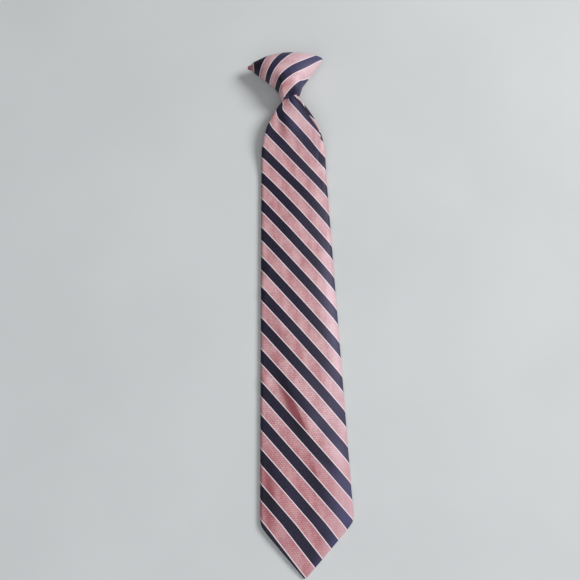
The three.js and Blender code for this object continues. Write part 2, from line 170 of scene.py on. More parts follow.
# Soft swells and hollows in the blade's front: x and y of the middle, half length, half width to
# its left and to its right, turn from the long axis in degrees, and height.
BLADE_DENTS = [
    {"x": -5, "y": 117, "long": 24, "left": 5.5, "right": 15, "turn": 21, "high": 1.3},
    {"x": 1, "y": 99, "long": 9, "left": 4.5, "right": 9, "turn": 25, "high": 0.8},
    {"x": 9, "y": 67, "long": 13, "left": 5, "right": 12, "turn": 15, "high": 0.8},
    {"x": 19, "y": 76, "long": 9, "left": 4.5, "right": 8, "turn": 35, "high": 0.6},
    {"x": -21, "y": 56, "long": 24, "left": 6, "right": 13, "turn": 0, "high": 0.9},
    {"x": -16, "y": 47, "long": 8, "left": 4, "right": 8, "turn": 50, "high": 0.4},
    {"x": 1, "y": 31, "long": 6.5, "left": 18, "right": 18, "turn": 8, "high": 0.8},
    {"x": 33, "y": 80, "long": 52, "left": 14, "right": 12, "turn": 2, "high": -2.1},
    {"x": 30, "y": 178, "long": 62, "left": 8, "right": 12, "turn": 2, "high": -1.9},
    {"x": 3, "y": 188, "long": 16, "left": 6, "right": 14, "turn": 30, "high": 0.4},
    {"x": -12, "y": 168, "long": 14, "left": 6, "right": 12, "turn": 18, "high": 0.4},
    {"x": -21, "y": 214, "long": 4, "left": 5, "right": 2.4, "turn": 62, "high": 0.5},
    {"x": -24, "y": 195, "long": 4, "left": 5, "right": 2.4, "turn": 55, "high": 0.5},
    {"x": -26, "y": 131, "long": 5, "left": 5, "right": 2.6, "turn": 50, "high": 0.5},
    {"x": -4, "y": 248, "long": 24, "left": 7, "right": 12, "turn": -12, "high": 0.4},
    {"x": 13, "y": 270, "long": 18, "left": 8, "right": 9, "turn": 24, "high": 0.5},
    {"x": -5, "y": 326, "long": 12, "left": 5.5, "right": 9, "turn": 16, "high": 1.2},
    {"x": -1, "y": 342, "long": 5, "left": 4, "right": 6, "turn": 20, "high": 0.5},
]

# The knot: its place, turn and size, the rounding of its back and the arch of its front, and the
# mouth at the bottom, whose ends are shares of half the width, with room left for the neck
KNOT_X = -4
KNOT_Y = 377.94
KNOT_TURN = math.radians(8.9)
KNOT_WIDTH = 60.4
KNOT_HEIGHT = 41
KNOT_DEPTH = 15.5
KNOT_BACK = 7.9
KNOT_EDGE = 2.6
KNOT_BACK_ROUND = 2.4
KNOT_CLOTH = 0.9
CORNER_SHARE = 0.3
CORNER_POINTS = [0.33, 0.66, 1]
FRONT_POWER = 2.6
FRONT_ROUND = 2.2
MOUTH_LEFT = -0.27
MOUTH_RIGHT = 0.19
MOUTH_INNER = 0.02
MOUTH_LEFT_OUTER = 0.03
MOUTH_RIGHT_OUTER = 0.05
MOUTH_CLEARANCE = 0.55
MOUTH_BLEND = 2.5
MOUTH_REACH_FROM = 2
MOUTH_REACH_TO = 8
MOUTH_FLOOR = 0.1
NECK_X = -1.3
NECK_SIDE_FROM = 0.85
NECK_SIDE_TO = 1.35
NECK_SIDE_RISE = 1.0
HEM_RISE = 0.75
FRONT_POINTS = 40
BACK_POINTS = 16
KNOT_ROWS = 150
KNOT_ROW_EVENNESS = 0.55
# Painted light over the knot: its amount in the middle, and how much lighter it grows to the right
KNOT_PAINTED_LIGHT = 0.27
KNOT_PAINTED_LIGHT_LEAN = 0.2

# The hem turned in at the mouth: y above the knot's bottom and z from the front's first point, and
# where the mouth is shut, the share of the way from the back to the front.
HEM_FOLD = [
    {"y": 4.0, "z": -0.35, "shut": 0.2},
    {"y": 1.6, "z": -0.65, "shut": 0.4},
    {"y": 0.35, "z": -0.6, "shut": 0.6},
    {"y": -0.05, "z": -0.3, "shut": 0.8},
]
HEM_POINTS = len(HEM_FOLD)

# Painted shade on the knot, where its cloth is drawn in and lies darker
KNOT_PAINTED_SHADE = [
    {"x": -10, "y": -20, "wide": 5, "long": 7, "painted shade": 0.45},
    {"x": -1, "y": -25, "wide": 3, "long": 6, "painted shade": 0.3},
    {"x": -22, "y": -4, "wide": 5, "long": 12, "painted shade": 0.28},
    {"x": -30, "y": 0, "wide": 4, "long": 20, "painted shade": 0.3},
]

# The knot's sections from wing tip to wing tip: across as a share of half its width, top and bottom
# as shares of its height, depth as a share of its depth.
KNOT_SECTIONS = [
    {"across": -1.0, "top": 0.078, "bottom": 0.06, "depth": 0.2},
    {"across": -0.96, "top": 0.095, "bottom": 0.035, "depth": 0.25},
    {"across": -0.9, "top": 0.106, "bottom": 0.0, "depth": 0.28},
    {"across": -0.875, "top": 0.13, "bottom": -0.045, "depth": 0.36},
    {"across": -0.8, "top": 0.145, "bottom": -0.11, "depth": 0.48},
    {"across": -0.7, "top": 0.157, "bottom": -0.185, "depth": 0.64},
    {"across": -0.58, "top": 0.18, "bottom": -0.285, "depth": 0.78},
    {"across": -0.45, "top": 0.202, "bottom": -0.41, "depth": 0.89},
    {"across": -0.37, "top": 0.214, "bottom": -0.5, "depth": 0.93},
    {"across": -0.33, "top": 0.219, "bottom": -0.6, "depth": 0.95},
    {"across": -0.27, "top": 0.226, "bottom": -0.75, "depth": 0.98},
    {"across": -0.12, "top": 0.234, "bottom": -0.755, "depth": 1.0},
    {"across": 0.0, "top": 0.236, "bottom": -0.75, "depth": 1.0},
    {"across": 0.1, "top": 0.234, "bottom": -0.735, "depth": 0.98},
    {"across": 0.17, "top": 0.228, "bottom": -0.69, "depth": 0.96},
    {"across": 0.23, "top": 0.222, "bottom": -0.62, "depth": 0.93},
    {"across": 0.32, "top": 0.21, "bottom": -0.5, "depth": 0.89},
    {"across": 0.48, "top": 0.182, "bottom": -0.375, "depth": 0.8},
    {"across": 0.64, "top": 0.15, "bottom": -0.27, "depth": 0.69},
    {"across": 0.8, "top": 0.122, "bottom": -0.15, "depth": 0.54},
    {"across": 0.9, "top": 0.1, "bottom": -0.065, "depth": 0.41},
    {"across": 0.96, "top": 0.085, "bottom": -0.005, "depth": 0.31},
    {"across": 1.0, "top": 0.065, "bottom": 0.035, "depth": 0.22},
]

# The striped cloth: pitch and widths square to the stripes, and how soft their edges are
STRIPE_PITCH = 15.28
STRIPE_TURN = math.radians(40.25)
STRIPE_START = 12.98
NAVY_WIDTH = 6.7
LINE_WIDTH = 0.6
STRIPE_WOBBLE = 0.1
NAVY_BLUR = 0.1
LINE_BLUR = 0.12
SPECK_REACH = 2.4
SPECK_SPACING = {"Scale": 1.15, "Randomness": 0.45}
SPECK_EDGE = 0.42
SPECK_CORE = 0.2

# The weave: ribs, and a finer grain over them
RIB_ROW = 1.3
RIB_THREAD = 1.5
FINE_ROW = 0.42
FINE_THREAD = 0.62
THREAD_SQUARENESS = 4.0
HEIGHT_SHARE = 0.75
CHANCE_SHARE = 0.25

# Noise over each finish: how many waves to a unit of its places, and its detail
NOISES = {
    "stripe wobble": {"scale": 1.3, "detail": 1.0},
    "blade wear": {"scale": 0.045, "detail": 3.0},
    "knot wear": {"scale": 0.06, "detail": 3.0},
    "slubs": {"scale": 0.8, "detail": 3.0},
    "clouds": {"scale": 0.14, "detail": 2.0},
    "plastic grain": {"scale": 2600.0, "detail": 2.0},
    "plastic cloud": {"scale": 130.0, "detail": 3.0},
    "table cloud": {"scale": 9.0, "detail": 4.0},
}

# What lies over the pink and the navy, in order: how much of the colour, and the mask it follows.
# A mask with from and to is carried smoothly over that range first.
PINK_OVER = [
    {"colour": "worn pink", "share": 0.3, "mask": "wear", "from": 0.35, "to": 0.7},
    {"colour": "pink slub", "share": 0.22, "mask": "slubs"},
    {"colour": "light pink cloud", "share": 0.3, "mask": "clouds", "from": 0.45, "to": 0.7},
    {"colour": "dark pink cloud", "share": 0.34, "mask": "clouds", "from": 0.5, "to": 0.32},
    {"colour": "blue speck", "share": 0.9, "mask": "specks"},
    # painted highlight and painted shade on the pink
    {"colour": "raised pink", "share": 0.85, "mask": "raised"},
    {"colour": "painted shade pink", "share": 0.85, "mask": "painted shade"},
    {"colour": "tip pink", "share": 0.28, "mask": "along", "from": 110.0, "to": 60.0},
]
NAVY_OVER = [
    {"colour": "worn navy", "share": 0.25, "mask": "wear", "from": 0.4, "to": 0.7},
    # painted highlight and painted shade on the navy
    {"colour": "raised navy", "share": 0.8, "mask": "raised"},
    {"colour": "painted shade navy", "share": 0.8, "mask": "painted shade"},
]

# Where the weave grows crisp along the cloth, the shade of plain cloth, the painted light at which
# the painted highlight and the painted shade are full, how rough each colour is, and reliefs in
# metres
CRISP_FROM = 225.0
CRISP_FULL = 90.0
LEAST_CRISP = 0.3
PLAIN_SHADE = 0.56
RIB_SHARE = 0.75
NAVY_GRAIN = 0.4
LINE_RELIEF = 0.3
CLOUD_STRETCH = (1.0, 0.4, 1.0)
FULL_PAINTED_HIGHLIGHT = 0.56
FULL_PAINTED_SHADE = -0.26
PINK_ROUGHNESS = 0.36
NAVY_ROUGHNESS = 0.5
WEAVE_RELIEF = 0.0001
PLASTIC_RELIEF = 0.00006
CLOTH_GLOSS = {"Specular IOR Level": 0.4, "Specular Tint": (0.86, 0.82, 1.0, 1.0)}

# Colours as they are seen on a screen
COLOURS = {
    "pink between threads": (125, 54, 62),
    "pink thread": (236, 189, 193),
    "worn pink": (171, 110, 113),
    "pink slub": (240, 200, 202),
    "light pink cloud": (242, 205, 208),
    "dark pink cloud": (163, 78, 87),
    # painted highlight and painted shade of the pink
    "raised pink": (229, 201, 209),
    "painted shade pink": (128, 48, 57),
    "tip pink": (160, 60, 70),
    "navy between threads": (6, 4, 13),
    "navy thread": (38, 31, 60),
    "worn navy": (20, 19, 28),
    # painted highlight and painted shade of the navy
    "raised navy": (82, 80, 118),
    "painted shade navy": (5, 4, 8),
    "pale line": (238, 222, 226),
    "blue speck": (100, 112, 146),
    "dark plastic": (34, 34, 37),
    "light plastic": (48, 48, 52),
    "table low": (204, 207, 208),
    "table high": (208, 211, 212),
}

# How much cloth lies across the stripes from the middle of the knot's long navy stripe to a place
# on the knot, as a sum of terms in the place across and up from the line through both wing tips.
WRAP_UNIT = 30
WRAP_TERMS = [
    {"across": 0, "up": 0, "cloth": 11.18},
    {"across": 0, "up": 1, "cloth": 24.37},
    {"across": 0, "up": 2, "cloth": -2.56},
    {"across": 0, "up": 3, "cloth": 3.80},
    {"across": 0, "up": 4, "cloth": 1.79},
    {"across": 1, "up": 0, "cloth": -17.76},
    {"across": 1, "up": 1, "cloth": -15.50},
    {"across": 1, "up": 2, "cloth": -18.36},
    {"across": 1, "up": 3, "cloth": 6.00},
    {"across": 2, "up": 0, "cloth": 15.44},
    {"across": 2, "up": 1, "cloth": -1.95},
    {"across": 2, "up": 2, "cloth": -42.11},
    {"across": 3, "up": 0, "cloth": -2.88},
    {"across": 3, "up": 1, "cloth": 47.04},
    {"across": 4, "up": 0, "cloth": -11.58},
]
HEM_CLOTH = STRIPE_START - 17.6
HEM_SOFTNESS = 1.5
EAR_X = -25.5
EAR_WRAP = 1.4
WRAP_X = 62.0
WRAP_Y = -110.0
WRAP_RADIUS = 110

# How far the blade's cloth is drawn to the left where it's gathered into the neck, and how much
# more of it is gathered at the left edge.
DRIFT_ROWS = [
    {"y": 272, "drift": 0.0, "edge": 0.0},
    {"y": 280, "drift": 0.3, "edge": 0.0},
    {"y": 288, "drift": 0.8, "edge": 0.0},
    {"y": 296, "drift": 1.5, "edge": 0.0},
    {"y": 304, "drift": 2.5, "edge": 0.0},
    {"y": 312, "drift": 3.4, "edge": 0.0},
    {"y": 318, "drift": 4.0, "edge": 0.2},
    {"y": 324, "drift": 4.4, "edge": 1.0},
    {"y": 330, "drift": 4.7, "edge": 3.0},
    {"y": 336, "drift": 4.6, "edge": 4.0},
    {"y": 341, "drift": 4.5, "edge": 7.5},
    {"y": 345, "drift": 4.4, "edge": 6.5},
]
EDGE_GATHER = 4.5

# The hook behind the knot: a strip bent round at its top, with the tongue below and the plate above
HOOK_WIDTH = 20
HOOK_LENGTH = 26
HOOK_PLATE = 20
HOOK_SHEET = 1.4
HOOK_GAP = 4.8
HOOK_CORNER = 5
HOOK_TOP = 11
HOOK_EDGE = 0.35
HOOK_CORNER_STEPS = 8
HOOK_BEND_STEPS = 16
HOOK_EDGE_STEPS = 3
HOOK_CREASE = math.radians(50)
HOOK_SMOOTH = math.radians(30)
PICK_WITHIN = 0.01
PLATE_WITHIN = 0.05
SAME_PLACE = 0.00001

# Lamps, which all point at the tie's middle: place and size in metres, power in watts
LAMPS = [
    {
        "name": "window",
        "place": (1.25, 0.45, 1.3),
        "size": 0.9,
        "power": 27,
        "colour": (1.0, 0.99, 0.985),
    },
    {
        "name": "ceiling",
        "place": (-0.4, -1.3, 1.5),
        "size": 2.0,
        "power": 17,
        "colour": (0.98, 0.99, 1.0),
    },
]
WORLD_COLOUR = (0.92, 0.94, 0.96, 1)
WORLD_STRENGTH = 0.2

# The table's top lies a hair below the tie
TABLE_SIZE = 6
TABLE_HEIGHT = -0.0002

# The camera: its place and directions, and its focal length in pixels of the square frame
CAMERA_PLACE = (-0.04512, -0.09943, 0.42313)
CAMERA_AHEAD = (0.09220, 0.23169, -0.96841)
CAMERA_RIGHT = (0.99565, -0.03428, 0.08660)
SENSOR_WIDTH = 36
FOCAL_PIXELS = 590
FRAME_PIXELS = 580
CLIP_NEAR = 0.01
CLIP_FAR = 20


def smooth(x, start, end):
    t = np.clip((np.asarray(x, float) - start) / (end - start), 0, 1)
    return t * t * (3 - 2 * t)


def mixed(a, b, t):
    return a + (b - a) * t


def column(rows, key, at, name):
    return np.interp(at, [row[key] for row in rows], [row[name] for row in rows])


def soft_column(rows, key, at, name):
    """A table's column at a place, as a smooth curve that keeps between its rows."""
    x = np.array([row[key] for row in rows], float)
    y = np.array([row[name] for row in rows], float)
    slope = np.diff(y) / np.diff(x)
    lean = np.zeros(len(x))
    same = slope[:-1] * slope[1:] > 0
    lean[1:-1][same] = 2 * slope[:-1][same] * slope[1:][same] / (slope[:-1] + slope[1:])[same]
    lean[0], lean[-1] = slope[0], slope[-1]
    i = np.clip(np.searchsorted(x, at) - 1, 0, len(x) - 2)
    width = x[i + 1] - x[i]
    t = (at - x[i]) / width
    return (
        (1 + 2 * t) * (1 - t) ** 2 * y[i]
        + t * (1 - t) ** 2 * width * lean[i]
        + t * t * (3 - 2 * t) * y[i + 1]
        + t * t * (t - 1) * width * lean[i + 1]
    )


# ---- the blade


def half_width(y):
    if y < SHOULDER_Y:
        tip = BLADE_WIDTH / 2 * y / TIP_RISE
        side = mixed(BLADE_WIDTH, SHOULDER_WIDTH, (y - TIP_RISE) / (SHOULDER_Y - TIP_RISE)) / 2
        return min(tip, side) - CORNER_CUT * math.exp(-abs(tip - side) / (2 * CORNER_CUT))
    t = min(1, (y - SHOULDER_Y) / SHOULDER_LENGTH)
    taper = 2 * smooth(y, SHOULDER_END, NECK_END)
    return (mixed(SHOULDER_WIDTH, NECK_WIDTH, t**SHOULDER_CURVE) - taper) / 2


def centre_line(y):
    if y < TIP_RISE:
        return TIP_SHIFT * (1 - y / TIP_RISE)
    if y <= SHOULDER_Y:
        return 0
    if y <= THROAT_Y:
        return THROAT_X * smooth(y, SHOULDER_Y, THROAT_Y)
    return THROAT_X - (y - THROAT_Y) * math.tan(KNOT_TURN)


def thickness(y):
    if y < TIP_RISE:
        tip = mixed(POINT_THICKNESS, TIP_THICKNESS, smooth(y, 0, POINT_LENGTH))
        return mixed(tip, BODY_THICKNESS, y / TIP_RISE)
    return mixed(BODY_THICKNESS, NECK_THICKNESS, smooth(y, SHOULDER_Y, THROAT_Y))


def quarter(edge, side, width, low, high, turned):
    """A quarter of a roll at a side edge, as (across, up)."""
    a = np.linspace(0, math.pi / 2, ROLL_POINTS)
    if turned:
        a = a[::-1]
    return np.stack([edge + side * width * (1 - np.sin(a)), mixed(low, high, np.cos(a))], 1)


def dents(x, y):
    """How far the soft swells and hollows raise the blade's front."""
    high = np.zeros(np.broadcast(x, y).shape)
    for row in BLADE_DENTS:
        c, s = math.cos(math.radians(row["turn"])), math.sin(math.radians(row["turn"]))
        along = (y - row["y"]) * c - (x - row["x"]) * s
        across = (x - row["x"]) * c + (y - row["y"]) * s
        wide = np.where(across < 0, row["left"], row["right"])
        high = high + row["high"] * np.exp(-((along / row["long"]) ** 2) - (across / wide) ** 2)
    return high


def flap_edge(y, half, centre, low):
    """The left flap's folded edge as (across, up), from the end tucked in to the back. Also half
    the flaps' lap and how high the fold is. Where the fold fades it's a flat raw edge."""
    lap = min(FLAP_OVERLAP, half * LAP_SHARE) / 2
    fade = 1 - smooth(y, SHOULDER_Y - FOLD_FADE_BELOW, SHOULDER_Y + FOLD_FADE_ABOVE)
    fold = FLAP_FOLD * float(fade) * min(1, half / FOLD_FULL_WIDTH)
    turn = np.linspace(0.5 * math.pi, -0.5 * math.pi, EDGE_POINTS)
    cut = 1 - fold / FLAP_FOLD
    edge_x = centre + lap - cut * min(RAW_STRIP, lap * RAW_SHARE) * np.linspace(0, 1, len(turn))
    edge_x += fold / 2 * (np.cos(turn) - 1)
    edge = np.stack([edge_x, low + fold / 2 * (np.sin(turn) + 1)], 1)
    tucked = fold / 2 + min(TUCK_LENGTH, lap * TUCK_SHARE)
    tuck_x = centre + lap + cut * RAW_END - (1 - cut) * tucked
    return np.concatenate([np.array([[tuck_x, low + fold]]), edge]), lap, fold


def pleat_line(at, turned, radius, depth):
    """The cloth's line from the front's end, over and down under it, to the pleat's foot."""
    heading, line = 0.0, []
    for sign in (1, -1):
        for _ in range(FOLD_STEPS):
            step = turned / FOLD_STEPS
            heading -= sign * step / 2
            chord = 2 * radius * math.sin(step / 2)
            at = at + chord * np.array([math.cos(heading), math.sin(heading)])
            heading -= sign * step / 2
            line.append(at)
        if sign == 1:
            at = at + depth * np.array([math.cos(heading), math.sin(heading)])
            line.append(at)
    return line


def blade_section(y):
    """The cloth's middle line round the blade: left flap, left roll, front, pleat, right roll and
    right flap. Gives (across, up), the cloth's own place across, and how much the soft swells and
    hollows reach each place."""
    half, centre = half_width(y), centre_line(y)
    low = CLOTH / 2
    high = thickness(y) - CLOTH / 2
    waist = mixed(low, high, ROLL_WAIST)
    left = centre - half + CLOTH / 2
    right = centre + half - CLOTH / 2
    limit = ROLL_LIMIT * half
    under = min(UNDER_ROLL, limit)
    left_top = min(LEFT_ROLL, limit)
    share = (y - SHOULDER_Y) / SHOULDER_LENGTH
    full_roll = mixed(TIP_ROLL, RIGHT_ROLL, smooth(y, ROLL_GROWS * TIP_RISE, ROLL_FULL * TIP_RISE))
    right_top = mixed(full_roll, PLEAT_ROLL, smooth(share, PLEAT_LEAD, PLEAT_ROWS[0]["along"]))
    right_top = min(right_top, limit)
    rise = mixed(CROWN, NECK_CROWN, smooth(y, SHOULDER_Y, THROAT_Y)) * min(1, half / CROWN_FADE)

    def crown(x):
        return rise * (1 - np.clip(np.abs(x - centre) / half, 0, 1) ** 2)

    front_start, front_end = left + left_top, right - right_top

    edge, lap, fold = flap_edge(y, half, centre, low)
    flat = np.linspace(edge[-1, 0], left + under, LEFT_FLAP_POINTS)[1:-1]
    left_flap = np.concatenate([edge, np.stack([flat, np.full(len(flat), low)], 1)])
    left_side = np.concatenate(
        [
            quarter(left, 1, under, waist, low, False),
            quarter(left, 1, left_top, waist, high + crown(front_start), True)[1:],
        ]
    )

    # the front, and the pleat where there is one
    turned = math.radians(column(PLEAT_ROWS, "along", share, "turn"))
    folded = turned > LEAST_TURN
    slack = 1 - turned / math.pi
    radius = (CLOTH + LAYER_GAP) / 2 + FOLD_SLACK * slack * slack
    depth = PLEAT_DEPTH * column(PLEAT_ROWS, "along", share, "depth")
    inset = PLEAT_INSET * column(PLEAT_ROWS, "along", share, "inset")
    drop = 2 * radius * (1 - math.cos(turned)) + depth * math.sin(turned) if folded else 0
    reach = max(radius, 2 * radius * math.sin(turned) + depth * math.cos(turned))
    turn_start = right + CLOTH / 2 - inset - reach
    ramp_end = max(RAMP_LEAST, 1 - (depth + FOLD_FLAT) / (turn_start - front_start))
    plain_start = max(mixed(front_start, front_end, PLAIN_SHARE), front_end - PLAIN_STRIP)
    pleat_start = turn_start if folded else plain_start
    t = np.linspace(0, 1, BLADE_FRONT_POINTS)[1:]
    x = mixed(front_start, pleat_start, t)
    front = np.stack([x, high + crown(x) + drop * smooth(t, 0, ramp_end if folded else 1)], 1)
    if folded:
        line = pleat_line(front[-1].copy(), turned, radius, depth)
        foot = line[-1]
        t = np.linspace(0, 1, STRIP_POINTS)[1:-1]
        end = high + crown(front_end)
        strip = np.stack([mixed(foot[0], front_end, t), mixed(foot[1], end, t)], 1)
        pleat = np.concatenate([line, strip])
    else:
        x = np.linspace(pleat_start, front_end, 2 * FOLD_STEPS + STRIP_POINTS + 1)[1:-1]
        pleat = np.stack([x, high + crown(x)], 1)

    right_side = np.concatenate(
        [
            quarter(right, -1, right_top, waist, high + crown(front_end), False),
            quarter(right, -1, under, waist, low, True)[1:],
        ]
    )

    # the right flap goes in over the left one's folded edge
    step = min(FLAP_STEP, half * STEP_SHARE)
    upper = low + CLOTH + LAYER_GAP + fold
    flat = np.linspace(right - under, centre + lap + step, RIGHT_FLAP_POINTS)[1:]
    x = np.concatenate([flat, np.linspace(centre + lap + step, centre - lap, LAP_POINTS)[1:]])
    z = mixed(low, upper, 1 - smooth(x, centre + lap + LAP_CLEARANCE, centre + lap + step))
    right_flap = np.stack([x, z], 1)

    line = np.concatenate([left_flap, left_side, front, pleat, right_side, right_flap])
    length = np.concatenate([[0], np.cumsum(np.hypot(*np.diff(line, axis=0).T))])
    start = len(left_flap) + len(left_side) - 1
    across = length - length[start] - (centre - front_start)
    upper_part = slice(len(left_flap), len(line) - len(right_flap))
    top = np.zeros(len(line))
    top[upper_part] = np.clip((line[upper_part, 1] - low) / (high - low), 0, 1)
    if share > HOLD_FROM:
        held = float(1 - smooth(share, HOLD_FROM, HOLD_TO))
        top *= mixed(held, 1, 1 - smooth(line[:, 0], pleat_start - HOLD_STRIP, pleat_start))
        top[start + 1 + len(front) :] *= held
    return line, across, top


def cloth_piece(name, points, cloth, painted_light, closed=None):
    """A mesh through a grid of points in millimetres, with the cloth's own places as its UV map and
    its painted light and shade as a point attribute. Rows marked closed are joined into rings."""
    rows, count = points.shape[:2]
    mesh = bpy.data.meshes.new(name)
    faces = []
    for i in range(rows - 1):
        for j in range(count if closed is not None and closed[i] else count - 1):
            k = (j + 1) % count
            faces.append((i * count + j, i * count + k, (i + 1) * count + k, (i + 1) * count + j))
    mesh.from_pydata((points.reshape(-1, 3) * MM).tolist(), [], faces)
    layer = mesh.uv_layers.new(name="Cloth")
    index = np.empty(len(mesh.loops), np.int32)
    mesh.loops.foreach_get("vertex_index", index)
    layer.uv.foreach_set("vector", cloth.reshape(-1, 2)[index].astype(np.float32).ravel())
    # painted light and shade, which lightens or darkens the cloth's colour
    lean = mesh.attributes.new("painted_light", "FLOAT", "POINT")
    lean.data.foreach_set("value", np.asarray(painted_light, np.float32).ravel())
    piece = bpy.data.objects.new(name, mesh)
    bpy.context.scene.collection.objects.link(piece)
    return piece


def only(piece):
    bpy.ops.object.select_all(action="DESELECT")
    piece.select_set(True)
    bpy.context.view_layer.objects.active = piece


def outwards(piece):
    """Every face is turned to point outwards."""
    only(piece)
    bpy.ops.object.mode_set(mode="EDIT")
    bpy.ops.mesh.select_all(action="SELECT")
    bpy.ops.mesh.normals_make_consistent(inside=False)
    bpy.ops.object.mode_set(mode="OBJECT")


def thicken(piece, amount, offset):
    """A sheet is given its wall, and is shaded smooth except at its cut edges."""
    only(piece)
    wall = piece.modifiers.new("cloth thickness", "SOLIDIFY")
    wall.thickness = amount * MM
    wall.offset = offset
    wall.use_even_offset = False
    wall.use_rim = True
    bpy.ops.object.modifier_apply(modifier=wall.name)
    bpy.ops.object.shade_smooth_by_angle(angle=CLOTH_CREASE)


def mitred(cloth, x, y, top):
    """The cloth's places, turned over on the back of the tip, where it's folded over the two
    slanted edges."""
    side = np.where(cloth[:, 0] < 0, -1, 1)
    corner_x = side * (x + centre_line(y)) - BLADE_WIDTH / 2
    corner_y = y - TIP_RISE
    edge = math.hypot(BLADE_WIDTH / 2, TIP_RISE)
    edge_x, edge_y = BLADE_WIDTH / 2 / edge, TIP_RISE / edge
    past = corner_x * edge_y - corner_y * edge_x
    back = (top < ROLL_WAIST) & (y < TIP_RISE)
    turned_x = side * (x + centre_line(y)) - 2 * past * edge_y
    turned_y = y + 2 * past * edge_x
    turned = np.stack([side * turned_x, turned_y], 1)
    return np.where(back[:, None], turned, cloth)


def lift(y):
    """How far the blade rises to go into the knot."""
    return NECK_LIFT * smooth(y, THROAT_Y - LIFT_LENGTH, THROAT_Y - LIFT_OVERLAP)


def blade_painted_light(x, y, top):
    """Painted light and shade at points across the blade: lighter where its relief and crown face
    the window lamp, in the neck, at the right of the tip and over the right edge, darker over the
    left edge.
    """
    step = RELIEF_STEP
    # how far the relief falls towards the window lamp, which sets its painted light
    falls = dents(x - step, y) - dents(x + step, y)
    falls = falls + RELIEF_ALONG * (dents(x, y - step) - dents(x, y + step))
    side = x / half_width(y)
    lean = RELIEF_PAINTED_LIGHT * falls + CROWN_PAINTED_LIGHT * side + NECK_PAINTED_LIGHT * smooth(y, NECK_PAINTED_LIGHT_FROM, NECK_PAINTED_LIGHT_TO)
    near_tip = float(1 - smooth(y, TIP_PAINTED_LIGHT_FULL, TIP_PAINTED_LIGHT_END))
    lean = top * (lean + TIP_PAINTED_LIGHT * np.clip(side, 0, 1) ** TIP_PAINTED_LIGHT_POWER * near_tip)
    # a painted highlight over the right edge and painted shade over the left one
    edges = np.sign(x) * EDGE_PAINTED_LIGHT * (1 - top) * np.clip(EDGE_PAINTED_LIGHT_RISE * top, 0, 1)
    return lean + edges * float(1 - smooth(y, SHOULDER_Y, THROAT_Y))


def drawn_cloth(across, x, y):
    """The cloth's own places across the blade, drawn to the left where it's gathered."""
    at = min(max(y, DRIFT_ROWS[0]["y"]), DRIFT_ROWS[-1]["y"])
    in_from_left = np.clip(x + half_width(y), 0, None)
    near_edge = np.exp(-((in_from_left / EDGE_GATHER) ** 2))
    gather = soft_column(DRIFT_ROWS, "y", at, "edge") * near_edge
    return across + soft_column(DRIFT_ROWS, "y", at, "drift") - gather


def make_blade():
    """The blade, with its cut width, its length and its area when laid out flat, in millimetres."""
    tip_length = TIP_RISE - TIP_CORNER_GAP - TIP_START
    tip = TIP_START + tip_length * np.linspace(0, 1, TIP_ROWS) ** TIP_CROWDING
    body = np.linspace(TIP_RISE, SHOULDER_Y - SHOULDER_LEAD, BODY_ROWS)
    shoulder = np.linspace(SHOULDER_Y - SHOULDER_LEAD, NECK_END, SHOULDER_ROWS)[1:]
    stations = np.concatenate([tip, body, shoulder])
    points, cloth, painted_light, widths = [], [], [], []
    for y in stations:
        line, across, top = blade_section(y)
        widths.append(float(np.ptp(across)))
        x = line[:, 0] - centre_line(y)
        up = line[:, 1] + lift(y) + top * dents(x, y)
        points.append(np.stack([line[:, 0] + BODY_X, np.full(len(line), y + TIP_Y), up], 1))
        # the row's painted light and shade
        painted_light.append(blade_painted_light(x, y, top))
        places = np.stack([drawn_cloth(across, x, y), np.full(len(line), y)], 1)
        cloth.append(mitred(places, x, y, top))
    piece = cloth_piece("blade_cloth", np.array(points), np.array(cloth), painted_light)
    area = sum((a + b) / 2 * gap for a, b, gap in zip(widths, widths[1:], np.diff(stations)))
    width, length = max(widths), float(stations[-1] - stations[0])
    thicken(piece, CLOTH, 0)
    return piece, width, length, area


# ---- the knot


def to_frame(points):
    """From the knot's own frame to the tie's."""
    c, s = math.cos(KNOT_TURN), math.sin(KNOT_TURN)
    x, y, z = points[..., 0], points[..., 1], points[..., 2]
    return np.stack([KNOT_X + x * c - y * s + BODY_X, KNOT_Y + x * s + y * c + TIP_Y, z], -1)


def wrap_cloth(points):
    """The cloth's own places on the knot, from a place in the knot's own frame."""
    x, y = points[..., 0] / WRAP_UNIT, points[..., 1] / WRAP_UNIT
    across = STRIPE_START
    for row in WRAP_TERMS:
        across = across + row["cloth"] * x ** row["across"] * y ** row["up"]
    across = across + EAR_WRAP * np.clip(EAR_X - points[..., 0], 0, None)
    past_hem = (across - HEM_CLOTH) * HEM_SOFTNESS
    across = HEM_CLOTH + np.logaddexp(0, past_hem) / HEM_SOFTNESS
    along = WRAP_RADIUS * np.arctan2(points[..., 1] - WRAP_Y, points[..., 0] - WRAP_X)
    c, s = math.cos(STRIPE_TURN), math.sin(STRIPE_TURN)
    return np.stack([across * c - along * s, across * s + along * c], -1)


def neck_height(x):
    """The top of the blade's neck under a place across the knot."""
    away = np.abs(x - NECK_X) / (NECK_WIDTH / 2)
    top = NECK_LIFT + NECK_THICKNESS + NECK_CROWN
    return mixed(top, KNOT_BACK + NECK_SIDE_RISE, smooth(away, NECK_SIDE_FROM, NECK_SIDE_TO))


